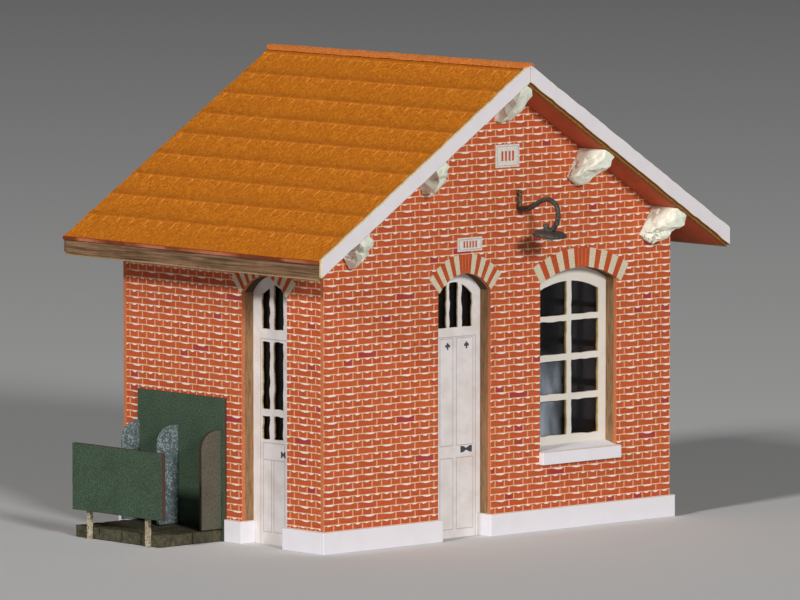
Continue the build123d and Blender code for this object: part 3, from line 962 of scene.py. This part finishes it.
def ink(name, outlines, place, out, finish):
    """Flat printed marks a hair proud of the card that they are printed on."""
    film = 0.03
    mesh = bpy.data.meshes.new(name)
    with reworked(mesh) as joined:
        for index, outline in enumerate(outlines):
            part = flat_card(f"{name}_{index}", [outline], film, place, out + film)
            joined.from_mesh(part.data)
            bpy.data.objects.remove(part)
    return settle(show(name, mesh), finish)


front_marks = [
    mark(SPADE, -7.2, 24.45, 0.48, 0.48),
    mark(SPADE, -3.95, 24.45, 0.48, 0.48),
    mark(BOW, -4.0, 11.2, 0.98, 0.42),
]
side_marks = [mark(BOW, 9.35, 11.56, 0.42, 0.42)]
ink("front_door_marks", front_marks, ON_FRONT, -door_face_y, "blue_ink")
ink("left_door_marks", side_marks, ON_LEFT, -side_door_face_x, "blue_ink")


def plaque_print(node, count, tall):
    """A row of plain strokes in place of lettering, and a thin grey line round the plaque."""
    low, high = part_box(node)
    left, right, bottom, top = (v / MM for v in (low.x, high.x, low.z, high.z))
    middle, centre = (left + right) / 2, (bottom + top) / 2
    pitch = (right - left) * 0.6 / count
    strokes = []
    for index in range(count):
        x = middle + (index - (count - 1) / 2) * pitch
        half = pitch * 0.26
        strokes.append(box_outline(x - half, x + half, centre - tall, centre + tall))
    inset, line = 0.2, 0.06
    left, right, bottom, top = left + inset, right - inset, bottom + inset, top - inset
    border = [
        box_outline(left, right, bottom, bottom + line),
        box_outline(left, right, top - line, top),
        box_outline(left, left + line, bottom + line, top - line),
        box_outline(right - line, right, bottom + line, top - line),
    ]
    for name, outlines, finish in (("marks", strokes, "red_ink"), ("border", border, "grey_ink")):
        ink(f"{node}_{name}", outlines, ON_FRONT, -low.y / MM, finish)


for node in ("date_plaque", "sign_plaque"):
    recut(node, "plaque_paper", 0.03)
plaque_print("date_plaque", 4, 0.62)
plaque_print("sign_plaque", 5, 0.42)


# ---- roof ----
def tile_courses(name):
    """Geometry Nodes: staggered courses of embossed tiles, with a short rib at every joint."""
    inputs = floats("Gauge", "Tile Width", "Thickness", "Lip")
    inputs.update(Courses="Int", Tiles="Int", Seed="Int", Surface="Material")
    group, tree, given, result = new_group(name, inputs, {"Geometry": "Geometry"}, "Geometry")
    x, y, z = tree.split(tree.node("GeometryNodeInputPosition").outputs[0])

    courses = tree.times(tree.minus(given["Courses"], 1.0), given["Gauge"])
    tiles = tree.times(tree.minus(given["Tiles"], 1.0), given["Tile Width"])
    points = tree.wire("GeometryNodeMeshGrid", {
        "Size X": courses, "Size Y": tiles,
        "Vertices X": given["Courses"], "Vertices Y": given["Tiles"],
    })
    row = tree.over(tree.line(courses, 0.5, x), given["Gauge"])
    odd = tree.math("MODULO", tree.math("ROUND", row), 2.0)
    shift = tree.times(tree.minus(odd, 0.5), given["Tile Width"])
    offset = tree.combine(0.0, tree.times(shift, 0.5), 0.0)
    staggered = tree.wire("GeometryNodeSetPosition", {"Geometry": points, "Offset": offset})

    # a plate whose cross cuts crowd towards its two ends
    lap = 0.4
    length = tree.plus(given["Gauge"], lap)
    plate = tree.wire("GeometryNodeMeshCube", {
        "Size": tree.combine(length, given["Tile Width"], given["Thickness"]),
        "Vertices X": 7, "Vertices Y": 4, "Vertices Z": 2,
    })
    half = tree.times(length, 0.5)
    share = tree.over(x, half)
    crowded = tree.times(tree.math("POWER", tree.size(share), 0.35), tree.math("SIGN", share))
    down = tree.math("MULTIPLY", crowded, -1.0, clamp=True)
    rise = tree.times(tree.math("POWER", down, 3.0), given["Lip"])
    nose = tree.times(tree.math("GREATER_THAN", down, 0.95), -0.1)
    spot = tree.combine(tree.times(crowded, half), y, tree.plus(z, tree.plus(rise, nose)))
    shaped = tree.wire("GeometryNodeSetPosition", {"Geometry": plate, "Position": spot})

    # a rib over the joint with the next tile, highest below the course above
    rib = tree.wire("GeometryNodeMeshCube", {
        "Size": (1.6, 0.22, 0.16), "Vertices X": 4, "Vertices Y": 3, "Vertices Z": 2,
    })
    round_off = tree.times(tree.times(y, y), -7.0)
    fade = tree.times(tree.minus(x, 0.85), 0.05)
    offset = tree.combine(0.0, 0.0, tree.plus(round_off, fade))
    rib = tree.wire("GeometryNodeSetPosition", {"Geometry": rib, "Offset": offset})
    side, top = (tree.times(given[label], 0.5) for label in ("Tile Width", "Thickness"))
    spot = tree.combine(tree.minus(half, 1.0), side, top)
    rib = tree.wire("GeometryNodeTransform", {"Geometry": rib, "Translation": spot})
    tile = tree.node("GeometryNodeJoinGeometry")
    for part in (shaped, rib):
        tree.feed(tile.inputs[0], part)

    low, high = (-0.004, -0.006, -0.006), (0.004, 0.006, 0.006)
    chance = tree.node("FunctionNodeRandomValue", low, high, data_type="FLOAT_VECTOR")
    tree.feed(chance.inputs["Seed"], given["Seed"])
    laid = tree.wire("GeometryNodeInstanceOnPoints", {
        "Points": staggered, "Instance": tile.outputs[0], "Rotation": chance.outputs[0],
    })
    real = tree.wire("GeometryNodeRealizeInstances", {"Geometry": laid})
    painted = {"Geometry": real, "Material": given["Surface"]}
    tree.feed(result[0], tree.wire("GeometryNodeSetMaterial", painted))
    return group


slope_length = eave_x / math.cos(slope_angle)
courses_tree = tile_courses("tile_courses")


def tile_sheet(name, node, side, seed):
    """The tiles of one slope, cut off at the eave, the ridge and the gables."""
    courses = 10
    stand = show(name, bpy.data.meshes.new(name))
    layer = stand.modifiers.new("courses", "NODES")
    layer.node_group = courses_tree
    settings = {
        "Courses": courses, "Tiles": 20, "Gauge": gauge, "Tile Width": 2.7,
        "Thickness": 0.3, "Lip": 0.17, "Seed": seed, "Surface": finishes["tile_card"],
    }
    for item in courses_tree.interface.items_tree:
        if item.item_type == "SOCKET" and item.in_out == "INPUT":
            layer[item.identifier] = settings[item.name]
    piece = plain(stand)
    # x runs up the slope: the last course but one ends at last_butt, the last at the eave
    middle = last_butt + 1.5 * gauge - courses * gauge / 2 - gauge / 2
    for vertex in piece.data.vertices:
        down = middle - vertex.co.x
        if down > last_butt:
            down = last_butt + (down - last_butt) * (slope_length - last_butt + 0.1) / gauge
        vertex.co.x = -down
    lie = Matrix.Translation((0, 0, ridge_z))
    turn = Matrix.Rotation(side * slope_angle, 4, "Y")
    if side > 0:
        turn = turn @ Matrix.Rotation(math.pi, 4, "Z")
    sink = Matrix.Translation((0, 0, -0.3))
    piece.data.transform(TO_METRES @ lie @ turn @ sink)
    with reworked(piece.data) as work:
        for spot, facing in (
            ((side * eave_x, 0, 0), (side, 0, 0)),
            ((side * 0.02, 0, 0), (-side, 0, 0)),
            ((0, roof_front, 0), (0, -1, 0)),
            ((0, roof_back + 0.45, 0), (0, 1, 0)),
        ):
            cut = bmesh.ops.bisect_plane(
                work,
                geom=work.verts[:] + work.edges[:] + work.faces[:],
                plane_co=Vector(spot) * MM,
                plane_no=Vector(facing),
                clear_outer=True,
            )
            edges = [e for e in cut["geom_cut"] if isinstance(e, bmesh.types.BMEdge)]
            bmesh.ops.holes_fill(work, edges=edges)
        bmesh.ops.recalc_face_normals(work, faces=work.faces)
    return settle(piece, "tile_card", (node,))


tile_sheet("left_tile_courses", "left_roof_tiles", -1, 11)
tile_sheet("right_tile_courses", "right_roof_tiles", 1, 23)
for side in ("left", "right"):
    recut(side + "_roof_deck", "roof_board", 0.04)
    recut(side + "_eave_fascia", "eave_strip", 0.02)


def bargeboard(name, node, place, reach, proud, finish):
    """Two mitred lengths of card with hand-cut edges. proud is how far their apex stands up."""
    thickness, depth = 0.5, 2.2
    out = -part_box("front_bargeboard")[0].y / MM
    apex, foot = ridge_z + proud, ridge_z - depth
    for side in (-1, 1):
        outline = [
            (0.0, foot),
            (side * reach, foot - reach * drop),
            (side * reach, apex - reach * drop),
            (0.0, apex),
        ][::side]
        edge = hand_cut(outline, 0.1, out + side, 0.5)
        half_name = name + ("_left", "_right")[side > 0]
        half = flat_card(half_name, [edge], thickness, place, out, 0.06)
        settle(half, finish, (node,))


# hand-cut ends stay inside the eaves
for name, place, reach, proud, finish in (
    ("front_barge", ON_FRONT, eave_x - 0.1, 0.1, "bargeboard_card"),
    ("back_barge", ON_BACK, eave_x - 0.25, -0.62, "back_bargeboard_card"),
):
    bargeboard(name, name + "board", place, reach, proud, finish)


def ridge_strip():
    """A folded card strip over the ridge, a little lifted and uneven along its two lower edges."""
    low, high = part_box("ridge_cap")
    start, end, top, reach = (v / MM for v in (low.y, high.y, high.z, high.x))
    thick, fold, rings = 0.22, 0.34, 160
    verts = []
    for index in range(rings + 1):
        y = start + (end - start) * index / rings
        off = [
            waver(y * 0.35, k * 9.0, 2.0) + 0.6 * waver(y * 1.3, k * 9.0, 7.0) for k in (1, 2, 3)
        ]
        end_round = min(1.0, 0.62 + 0.5 * min(y - start, end - y))
        left, right = (reach * (0.9 + 0.09 * share) * end_round for share in off[:2])
        crest = top - 0.07 + 0.09 * off[2] - 0.1 * (1 - end_round)
        outer = [
            (-left, crest - left * drop + 0.02),
            (-fold, crest - fold * drop + 0.05),
            (0.0, crest),
            (fold, crest - fold * drop + 0.05),
            (right, crest - right * drop + 0.02),
        ]
        verts += [(x, y, min(z, top)) for x, z in outer]
        verts += [(x * 0.97, y, min(z, top) - thick) for x, z in outer[::-1]]
    corners = 2 * len(outer)
    faces = ring_faces(rings + 1, corners, rings)
    faces.append(tuple(range(corners))[::-1])
    faces.append(tuple(range(rings * corners, (rings + 1) * corners)))
    mesh = built("ridge_strip", verts, faces)
    merged(mesh)
    return settle(show("ridge_strip", mesh), "ridge_strip", ("ridge_cap",))


ridge_strip()


# ---- plaster corbels ----
def rough_corbels(name, node, wall_y, side):
    """Corbels as chipped lumps of plaster, flat where they meet the wall and the roof."""
    deck, voxel, kept_share, largest_pull = 1.6, 0.2, 0.05, 0.22
    near_roof, near_wall = 0.8, 0.5
    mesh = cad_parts[node].data.copy()
    merged(mesh, outwards=False)
    stand = show(name, mesh)
    clay = stand.modifiers.new("clay", "REMESH")
    clay.mode = "VOXEL"
    clay.voxel_size = voxel * MM
    piece = plain(stand)
    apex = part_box("left_roof_deck")[1].z / MM - deck / math.cos(slope_angle)

    def freedom(spot):
        """From 0 at the wall and the roof to 1 on the open part of a lump."""
        out = (wall_y - spot.y) * side
        under = (apex - abs(spot.x) * drop - spot.z) * math.cos(slope_angle)
        return min(1.0, max(0.0, under / near_roof)) * min(1.0, max(0.0, out / near_wall))

    for vertex in piece.data.vertices:
        spot = vertex.co / MM
        key = spot * 0.55 + Vector((0, side * 31.0, 5.0))
        lump = noise.noise(key) * 0.7
        ledge = math.floor((spot.z * 0.8 + spot.x * 0.45 + noise.noise(key * 1.7) * 1.4) * 1.3)
        step = (waver(ledge * 3.7, spot.x * 0.2, side) + 0.1) * 0.5
        pull = min(lump + step - 0.02, largest_pull)
        vertex.co += vertex.normal * pull * freedom(spot) * MM
    chips = piece.modifiers.new("chips", "DECIMATE")
    chips.ratio = kept_share
    piece = plain(piece)
    for vertex in piece.data.vertices:
        spot = vertex.co / MM
        if (wall_y - spot.y) * side < 0:
            spot.y = wall_y
        spot.z = min(spot.z, apex - abs(spot.x) * drop)
        vertex.co = spot * MM
    merged(piece.data)
    return settle(shaded(piece, False), "rough_plaster", (node,))


rough_corbels("front_plaster_corbels", "front_corbels", front_y, 1)
rough_corbels("back_plaster_corbels", "back_corbels", back_y, -1)

# ---- swan-neck lamp ----
lamp_low, lamp_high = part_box("lamp_bracket")
lamp_x = (lamp_low.x + lamp_high.x) / 2 / MM
shade_low, shade_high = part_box("lamp_shade")
shade_centre = (shade_low + shade_high) / 2 / MM

# Each spot of the arm's wire: how far out of the wall, how high, and its share of the radius.
ARM_NECK = (
    (0.3, 41.5, 1.1), (1.6, 41.5, 1.15), (3.0, 42.0, 1.1), (4.6, 42.9, 1.0),
    (6.0, 43.05, 1.05), (7.25, 42.4, 1.0), (7.6, 41.2, 1.05), (7.4, 40.2, 1.1),
    (6.7, 39.4, 1.15), (6.1, 38.8, 1.3),
)
ARM_SCROLL = ((6.3, 38.9, 1.2), (5.7, 39.1, 1.3), (5.3, 39.5, 1.2), (5.2, 39.85, 0.9))


def lamp_arm():
    """The bent arm, with a small scroll where it turns down to the shade."""
    arm = bpy.data.curves.new("lamp_arm", "CURVE")
    arm.dimensions = "3D"
    arm.bevel_depth = 0.31
    arm.bevel_resolution = 3
    arm.use_fill_caps = True
    for route in (ARM_NECK, ARM_SCROLL):
        spline = arm.splines.new("NURBS")
        spline.points.add(len(route) - 1)
        for point, (out, z, size) in zip(spline.points, route):
            point.co = (lamp_x, front_y - out, z, 1)
            point.radius = size
        spline.order_u = 3
        spline.use_endpoint_u = True
        spline.resolution_u = 6
    piece = plain(show("lamp_arm", arm))
    piece.data.transform(TO_METRES)
    merged(piece.data)
    for vertex in piece.data.vertices:
        key = vertex.co / MM
        vertex.co += vertex.normal * noise.noise(key * 2.2) * 0.06 * MM
    return shaded(piece, True)


def block(work, low, high):
    """Adds a box between two corners to a mesh under work."""
    made = bmesh.ops.create_cube(work, size=1.0)
    for vertex in made["verts"]:
        for k in range(3):
            vertex.co[k] = low[k] + (vertex.co[k] + 0.5) * (high[k] - low[k])


def lamp_plate():
    """The narrow bar on the wall that carries the arm."""
    half, proud, foot, head = 0.25, 0.7, 41.3, 43.9
    mesh = bpy.data.meshes.new("lamp_plate")
    with reworked(mesh) as work:
        low, high = (lamp_x - half, front_y - proud, foot), (lamp_x + half, front_y, head)
        block(work, Vector(low), Vector(high))
    mesh.transform(TO_METRES)
    return eased(show("lamp_plate", mesh), 0.1, 3)


def turned(name, profile, centre, segments, bumps):
    """A piece turned on an upright axis from a closed profile of radius and height."""
    verts = []
    for index in range(segments):
        angle = 2 * math.pi * index / segments
        for radius, z in profile:
            x, y = radius * math.cos(angle), radius * math.sin(angle)
            off = bumps * waver(x * 0.7, y * 0.7, z * 0.5) * min(1.0, radius / 2)
            scale = 1 - abs(off) / max(radius, 0.3)
            verts.append((centre.x + x * min(scale, 1.0), centre.y + y * min(scale, 1.0), z))
    mesh = built(name, verts, ring_faces(segments, len(profile), segments))
    merged(mesh)
    return shaded(show(name, mesh), True)


def tilted(piece, centre, degrees_down):
    """Leans a turned piece: its front edge hangs lower."""
    spot = centre * MM
    lean = Matrix.Rotation(math.radians(degrees_down), 4, "X")
    piece.data.transform(Matrix.Translation(spot) @ lean @ Matrix.Translation(-spot))
    return piece


settle(lamp_arm(), "lamp_paint", ("lamp_bracket",))
settle(lamp_plate(), "lamp_bar_paint")
foot, crown = shade_low.z / MM, shade_high.z / MM
shade_profile = (
    (0.0, crown), (0.8, crown - 0.02), (1.2, crown - 0.1), (1.7, foot + 0.66),
    (2.2, foot + 0.55), (2.33, foot + 0.34), (2.26, foot + 0.1), (1.9, foot + 0.02),
    (1.2, foot + 0.14), (0.0, foot + 0.2),
)
shade = tilted(turned("lamp_disc", shade_profile, shade_centre, 40, 0.65), shade_centre, 7.0)
settle(shade, "lamp_paint", ("lamp_shade",))
bulb_low, bulb_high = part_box("lamp_bulb")
bulb_z, bulb_r = (bulb_low.z + bulb_high.z) / 2 / MM, (bulb_high.z - bulb_low.z) / 2 / MM
bulb_profile = [(0.0, bulb_z + bulb_r)]
for index in range(1, 8):
    turn = math.pi * index / 8
    bulb_profile.append((bulb_r * 0.95 * math.sin(turn), bulb_z + bulb_r * math.cos(turn)))
bulb_profile.append((0.0, bulb_z - bulb_r))
bulb = turned("lamp_bead", bulb_profile, shade_centre, 24, 0.0)
settle(bulb, "lamp_glass", ("lamp_bulb",))

# ---- urinal annex ----
for node, slot, finish, ease in (
    ("back_panel", "green_card", "green_card", 0.05),
    ("partition_1", "olive_card", "olive_card", 0.08),
    ("partition_2", "granite_print", "granite_print", 0.08),
    ("partition_3", "granite_print", "granite_print", 0.08),
    ("screen", "green_card", "green_card", 0.06),
    ("leg_1", "leg_wire", "leg_paint", 0.08),
    ("leg_2", "leg_wire", "leg_paint", 0.08),
):
    recut("urinal_" + node, finish, ease)


def stone_base():
    """The annex base as blocks of slightly different size, with worn arrises."""
    low, high = (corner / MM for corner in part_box("urinal_base"))
    lengths = [low.y + (high.y - low.y) * share for share in (0.0, 0.22, 0.45, 0.72, 1.0)]
    depths = [low.x + (high.x - low.x) * share for share in (0.0, 0.52, 1.0)]
    inset, worn, long_edge = 0.03, 0.14, 0.9
    mesh = bpy.data.meshes.new("urinal_base_blocks")
    with reworked(mesh) as joined:
        for i, (y0, y1) in enumerate(zip(lengths, lengths[1:])):
            for k, (x0, x1) in enumerate(zip(depths, depths[1:])):
                sink = 0.05 + 0.05 * waver(i * 3.1, k * 5.7, 0.4)
                stone = bpy.data.meshes.new("block")
                with reworked(stone) as work:
                    block(
                        work,
                        (x0 + inset, y0 + inset, low.z),
                        (x1 - inset, y1 - inset, high.z - sink),
                    )
                    edges = work.edges[:]
                    bmesh.ops.bevel(
                        work, geom=edges, offset=worn, segments=2, affect="EDGES", profile=0.6
                    )
                    edges = [edge for edge in work.edges if edge.calc_length() > long_edge]
                    bmesh.ops.subdivide_edges(work, edges=edges, cuts=4, use_grid_fill=True)
                    for vertex in work.verts:
                        push = noise.noise(vertex.co * 1.6) * 0.14 - 0.06
                        vertex.co += vertex.normal * min(push, 0.0)
                        vertex.co.z = max(vertex.co.z, low.z)
                joined.from_mesh(stone)
                bpy.data.meshes.remove(stone)
        bmesh.ops.recalc_face_normals(joined, faces=joined.faces)
    mesh.transform(TO_METRES)
    return settle(
        show("urinal_base_blocks", mesh), "block_print", ("urinal_base",)
    )


stone_base()

# ---- floor, light and camera ----
scene = bpy.context.scene
scene.view_settings.view_transform = "Standard"

FLOOR_REACH = 6000.0
FLOOR_COLOUR = (0.64, 0.64, 0.63, 1)
SKY_COLOUR, SKY_STRENGTH = (0.80, 0.82, 0.85, 1), 0.04
floor_corners = [(-1, -1), (1, -1), (1, 1), (-1, 1)]
floor_mesh = built(
    "studio_floor",
    [(x * FLOOR_REACH, y * FLOOR_REACH, 0) for x, y in floor_corners],
    [(0, 1, 2, 3)],
)
studio_floor = show("studio_floor", floor_mesh)
Finish("studio_floor", 0.9, Base_Color=FLOOR_COLOUR, Specular_IOR_Level=0.5)
coat(floor_mesh, "studio_floor")

world = bpy.data.worlds.new("studio")
scene.world = world
world.use_nodes = True
sky = world.node_tree.nodes["Background"].inputs
sky["Color"].default_value = SKY_COLOUR
sky["Strength"].default_value = SKY_STRENGTH


def softbox(name, towards, distance, size, power):
    """A square soft light that shines at the model from a direction, sizes in metres."""
    light = bpy.data.lights.new(name, "AREA")
    light.shape = "SQUARE"
    light.size = size
    light.energy = power
    lamp = show(name, light)
    direction = Vector(towards).normalized()
    lamp.location = direction * distance + Vector((0, 0, 0.03))
    lamp.rotation_mode = "QUATERNION"
    lamp.rotation_quaternion = direction.to_track_quat("Z", "Y")


softbox("front_light", (-0.34, -1.0, 0.36), 1.9, 0.30, 23.0)
softbox("left_light", (-1.0, -0.20, 0.56), 2.2, 0.24, 27.0)

LENS, SENSOR = 396.8, 36.0
CAMERA_SPOT = (-0.75776, -0.83419, 0.13651)
turn, tilt = math.radians(42.263), math.radians(5.466)
camera_data = bpy.data.cameras.new("camera")
camera_data.lens = LENS
camera_data.sensor_width = SENSOR
camera_data.clip_end = 50.0
camera = show("camera", camera_data)
ahead = Vector((math.sin(turn) * math.cos(tilt), math.cos(turn) * math.cos(tilt), -math.sin(tilt)))
across = Vector((math.cos(turn), -math.sin(turn), 0))
facing = Matrix((across, across.cross(ahead), -ahead)).transposed()
camera.matrix_world = Matrix.Translation(CAMERA_SPOT) @ facing.to_4x4()
scene.camera = camera
